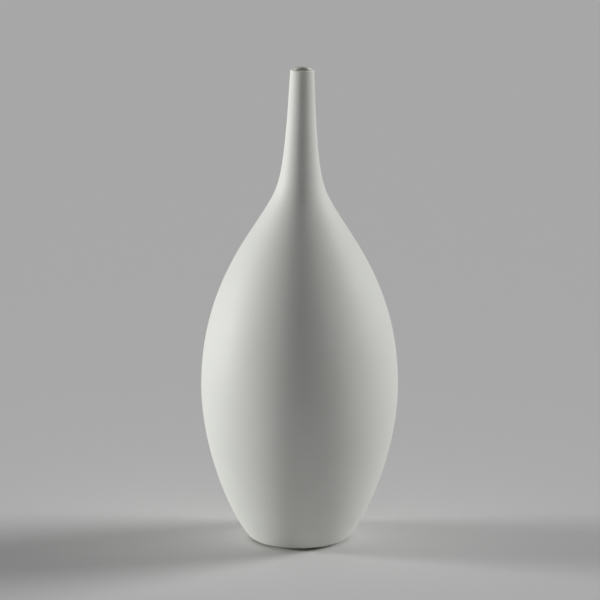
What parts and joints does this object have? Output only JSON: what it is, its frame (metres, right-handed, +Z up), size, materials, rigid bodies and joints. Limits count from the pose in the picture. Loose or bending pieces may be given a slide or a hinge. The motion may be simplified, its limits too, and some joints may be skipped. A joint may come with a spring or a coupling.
{
  "type": "bud vase",
  "caption": "Tall ceramic bottle vase with an egg-shaped body, a slim neck with a narrow round mouth, and a small foot on felt pads.",
  "frame": {"origin": "centre of the base, on the surface that the vase stands on", "axes": "+Z up along the vase's axis, from the base to the mouth; +X and +Y are level, midway between neighbouring pads"},
  "size_m": [0.1632, 0.1632, 0.4],
  "materials": {
    "matte_glaze": "matte",
    "felt": "matte"
  },
  "bodies": {
    "root": {"vase_shell": "matte_glaze", "felt_pad_1": "felt", "felt_pad_2": "felt", "felt_pad_3": "felt", "felt_pad_4": "felt"}
  },
  "joints": []
}
